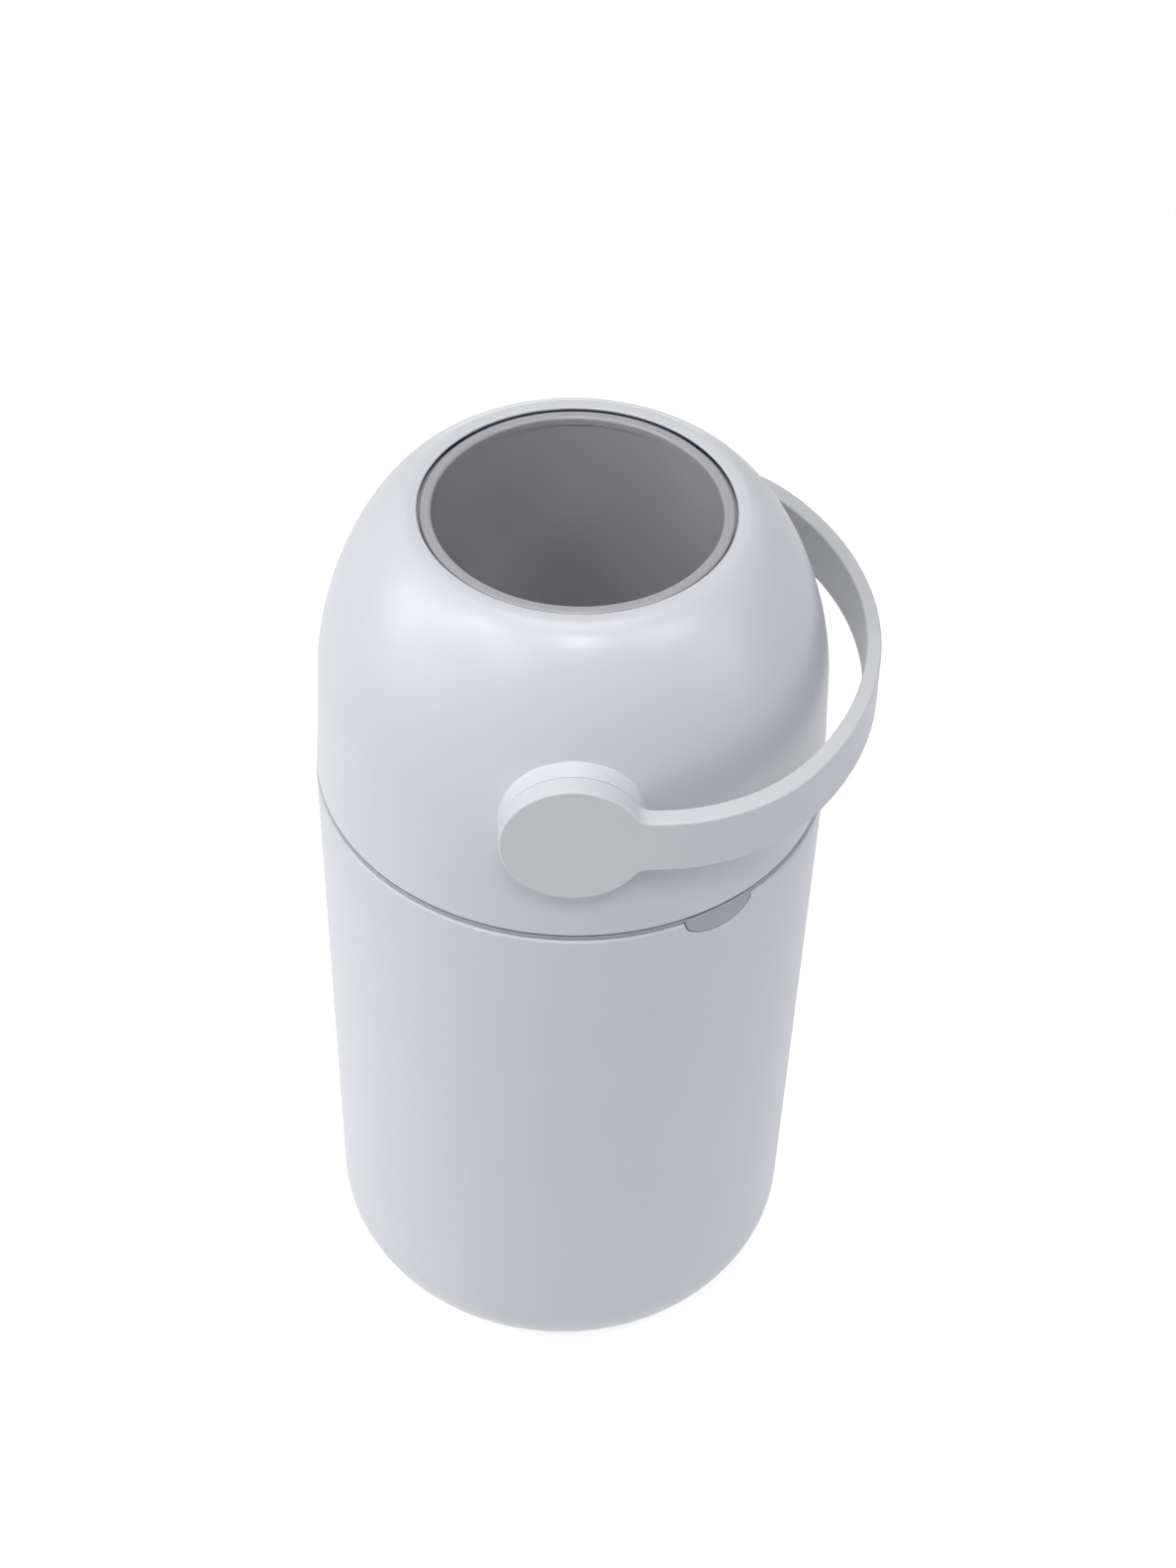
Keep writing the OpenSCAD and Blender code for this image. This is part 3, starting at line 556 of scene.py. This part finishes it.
def make_handle():
    """Swing handle: two hubs with necks and arms, and one band round the far side."""
    # Hub, neck and the arm's straight start as one outline, seen from the front
    reach_c = math.sqrt((HUB_R + NECK_ROUND) ** 2 - (ARM_W / 2 + NECK_ROUND) ** 2)
    neck_c = (reach_c, ARM_W / 2 + NECK_ROUND)
    touch = math.degrees(math.atan2(neck_c[1], neck_c[0]))
    upper = arc(neck_c, NECK_ROUND, -90, touch - 180, 12)
    lower = [(x, -z) for x, z in reversed(upper)]
    flat = ([(ARM_STRAIGHT, ARM_W / 2)] + upper + arc((0, 0), HUB_R, touch, 360 - touch, 120)[1:-1]
            + lower + [(ARM_STRAIGHT, -ARM_W / 2)])
    piece = plate("swing_handle", [(x, -HUB_BACK, PIVOT_H + z) for x, z in flat],
                  (0, HUB_BACK - HUB_FACE, 0))
    # The band is drawn out of the arm's end face, step by step along its two edges
    outer = band_edge(REACH, HUB_FACE, OUTER_CROWN)
    inner = band_edge(REACH - BAIL_T, HUB_BACK, INNER_CROWN)
    editing(piece)
    select_where(piece, "FACE", lambda c, n: n.x > 0.99 and abs(c.x - ARM_STRAIGHT) < PICK)
    for i in range(1, len(outer)):
        way_out = [q - p for p, q in zip(outer[i - 1], outer[i])]
        way_in = [q - p for p, q in zip(inner[i - 1], inner[i])]
        held = Vector((inner[i - 1][0] + way_out[0], inner[i - 1][1] + way_out[1]))
        middle = Vector((outer[i][0] + inner[i][0], outer[i][1] + inner[i][1])) / 2
        bpy.ops.mesh.extrude_region_move(TRANSFORM_OT_translate=shift((*way_out, 0)))
        select_where(piece, "VERT", lambda c, n: (c.xy - held).length < PICK)
        bpy.ops.transform.translate(value=[(b - a) * MM for a, b in zip((*way_out, 0), (*way_in, 0))])
        select_where(piece, "FACE", lambda c, n: (c.xy - middle).length < PICK and abs(n.z) < 0.5)
    bpy.ops.mesh.delete(type="FACE")
    done()
    apply_modifier(piece, "MIRROR", use_axis=(False, True, False), use_mirror_merge=True,
                   merge_threshold=PICK * MM)
    outward(piece)
    # Every edge gets the full weight and so the full round. Then the hub's back edges, which close on
    # the bosses, lose most of it: the second value is added to the first
    editing(piece)
    bpy.ops.mesh.select_mode(type="EDGE")
    bpy.ops.mesh.select_all(action="DESELECT")
    bpy.ops.mesh.edges_select_sharp(sharpness=math.radians(50))
    bpy.ops.transform.edge_bevelweight(value=1.0)
    hub, hub_edge = Vector((0, PIVOT_H)), HUB_R + PICK_WIDE
    select_where(piece, "EDGE",
                 lambda c, n: abs(abs(c.y) - HUB_BACK) < PICK and (c.xz - hub).length < hub_edge)
    bpy.ops.transform.edge_bevelweight(value=JOINT_ROUND / EDGE_ROUND - 1)
    done()
    apply_modifier(piece, "BEVEL", width=EDGE_ROUND * MM, segments=4, limit_method="WEIGHT",
                   use_clamp_overlap=False)
    smooth(piece, 50)
    even_normals(piece)
    dress(piece, handle_abs, "turner", "handle_bail")


# Tube and its lips

def lip_line(end):
    """Rounded top of a lip from its outer to its inner side, over the tube's end (1) or under it (-1)."""
    top = TUBE_HALF + LIP_H
    flat = (arc((LIP_R - LIP_OUTER_ROUND, top - LIP_OUTER_ROUND), LIP_OUTER_ROUND, 0, 90, 8)
            + arc((LIP_IN_R + LIP_INNER_ROUND, top - LIP_INNER_ROUND), LIP_INNER_ROUND, 90, 180, 10))
    return [(r, PIVOT_H + end * z) for r, z in flat]


def make_tube():
    """Load tube with its upper lip, and the lower lip as a ring of its own."""
    low, high, rows = PIVOT_H - TUBE_HALF, PIVOT_H + TUBE_HALF, 8
    rebate = (BORE_R + TUBE_R) / 2
    profile = ([(BORE_R, low), (rebate, low), (rebate, low + REBATE_H), (TUBE_R, low + REBATE_H),
                (TUBE_R, high), (LIP_R, high)] + lip_line(1) + [(LIP_IN_R, high), (BORE_R, high)]
               + [(BORE_R, low + (high - low) * (1 - i / rows)) for i in range(1, rows)])
    tube = turned("tube", profile)
    smooth(tube)
    dress(tube, tube_pp, "turner", "load_tube")
    # The lower lip snaps into the rebate once the piston is in
    seat, top = rebate + SNAP_SIDE_FIT, low + REBATE_H - SNAP_TOP_FIT
    profile = ([(seat, top), (TUBE_R, top), (TUBE_R, low), (LIP_R, low)]
               + lip_line(-1) + [(LIP_IN_R, low), (seat, low)])
    lip = turned("lower_lip", profile)
    smooth(lip)
    dress(lip, tube_pp, "turner", "tube_lip")


make_pail()
make_ring()
make_dome()
make_handle()
make_tube()


# Floor, lamps and world

WHITE = linear("#ffffff")
FLOOR_SIZE, LAMPS_LOOK_AT = 8.0, Vector((0, 0, 300 * MM))


def seen_directly(tree):
    """1 for what the camera sees itself, in a gloss or through glass, and 0 for the light on the bin."""
    paths = add_node(tree, "ShaderNodeLightPath").outputs
    both = add_node(tree, "ShaderNodeMath", {"operation": "ADD", "use_clamp": True},
                    _0=paths["Is Camera Ray"], _1=paths["Is Glossy Ray"]).outputs[0]
    return add_node(tree, "ShaderNodeMath", {"operation": "ADD", "use_clamp": True},
                    _0=both, _1=paths["Is Transmission Ray"]).outputs[0]


def paper_floor():
    """White studio paper, nearly burnt out: the bin's shadow stays, and farther off it is plain white."""
    # Near the bin the lit part and the glow add up to just under white
    fade_from, fade_to, glow_share = 350 * MM, 1100 * MM, 0.74
    material, tree, place = new_material("studio_paper")
    far = add_node(tree, "ShaderNodeVectorMath", {"operation": "LENGTH"}, _0=place).outputs["Value"]
    fade = add_node(tree, "ShaderNodeMapRange", _0=far, _1=fade_from, _2=fade_to, _3=0.0, _4=1.0).outputs[0]
    matt = add_node(tree, "ShaderNodeBsdfDiffuse", Color=linear("#f2f2f2")).outputs[0]
    shown = add_node(tree, "ShaderNodeBsdfDiffuse", Color=linear("#c8c8c8")).outputs[0]
    glow = add_node(tree, "ShaderNodeEmission", Color=WHITE, Strength=glow_share).outputs[0]
    near = add_node(tree, "ShaderNodeAddShader", _0=shown, _1=glow).outputs[0]
    white = add_node(tree, "ShaderNodeEmission", Color=WHITE, Strength=1.0).outputs[0]
    paper = add_node(tree, "ShaderNodeMixShader", _0=fade, _1=near, _2=white).outputs[0]
    mixed = add_node(tree, "ShaderNodeMixShader", _0=seen_directly(tree), _1=matt, _2=paper).outputs[0]
    add_node(tree, "ShaderNodeOutputMaterial", Surface=mixed)
    return material


clear_selection()
bpy.ops.mesh.primitive_plane_add(size=FLOOR_SIZE, location=(0, 0, 0))
floor = bpy.context.object
floor.name = "floor"
floor.data.materials.append(paper_floor())


def softbox(name, azimuth, elevation, distance, size, power, colour):
    """Rectangular lamp at a distance from the bin's middle, which it looks at. Degrees, metres, watts."""
    lamp = bpy.data.lights.new(name, "AREA")
    lamp.shape = "RECTANGLE"
    lamp.size, lamp.size_y = size
    lamp.energy = power
    lamp.color = linear(colour)[:3]
    box = bpy.data.objects.new(name, lamp)
    bpy.context.scene.collection.objects.link(box)
    az, el = math.radians(azimuth), math.radians(elevation)
    way = Vector((math.cos(el) * math.cos(az), math.cos(el) * math.sin(az), math.sin(el)))
    box.location = LAMPS_LOOK_AT + way * distance
    box.rotation_euler = (-way).to_track_quat("-Z", "Y").to_euler()


# Broad lamps low on both sides, small ones high up that draw the dome's highlights, one over it, one behind
softbox("left_box", -165, 14, 2.2, (1.0, 1.4), 5.9, "#f6f8ff")
softbox("left_side_box", 178, 20, 2.3, (0.9, 1.4), 12.0, "#f3f6ff")
softbox("left_fill_box", -160, 34, 2.3, (0.6, 0.6), 3.5, "#f6f8ff")
softbox("left_high_box", -150, 50, 2.3, (0.7, 0.7), 9.6, "#f9faff")
softbox("left_front_box", -128, 36, 2.3, (0.6, 0.6), 4.6, "#fbfcff")
softbox("front_box", -88, 58, 2.6, (0.5, 0.5), 13.6, "#ffffff")
softbox("right_box", -18, 14, 2.2, (0.9, 1.4), 6.8, "#eef2ff")
softbox("right_high_box", -33, 47, 2.3, (0.8, 0.8), 10.4, "#eff3ff")
softbox("top_box", 90, 86, 2.2, (1.2, 1.2), 12.6, "#ffffff")
softbox("back_box", 90, 3, 2.4, (1.4, 0.8), 5.5, "#f8faff")

world = bpy.data.worlds.new("studio")
bpy.context.scene.world = world
world.use_nodes = True
sky = world.node_tree
sky.nodes.clear()
room = add_node(sky, "ShaderNodeBackground", Color=linear("#f4f6fb"), Strength=0.03).outputs[0]
backdrop = add_node(sky, "ShaderNodeBackground", Color=WHITE, Strength=1.0).outputs[0]
both = add_node(sky, "ShaderNodeMixShader", _0=seen_directly(sky), _1=room, _2=backdrop).outputs[0]
add_node(sky, "ShaderNodeOutputWorld", Surface=both)

bpy.context.scene.view_settings.view_transform = "Standard"
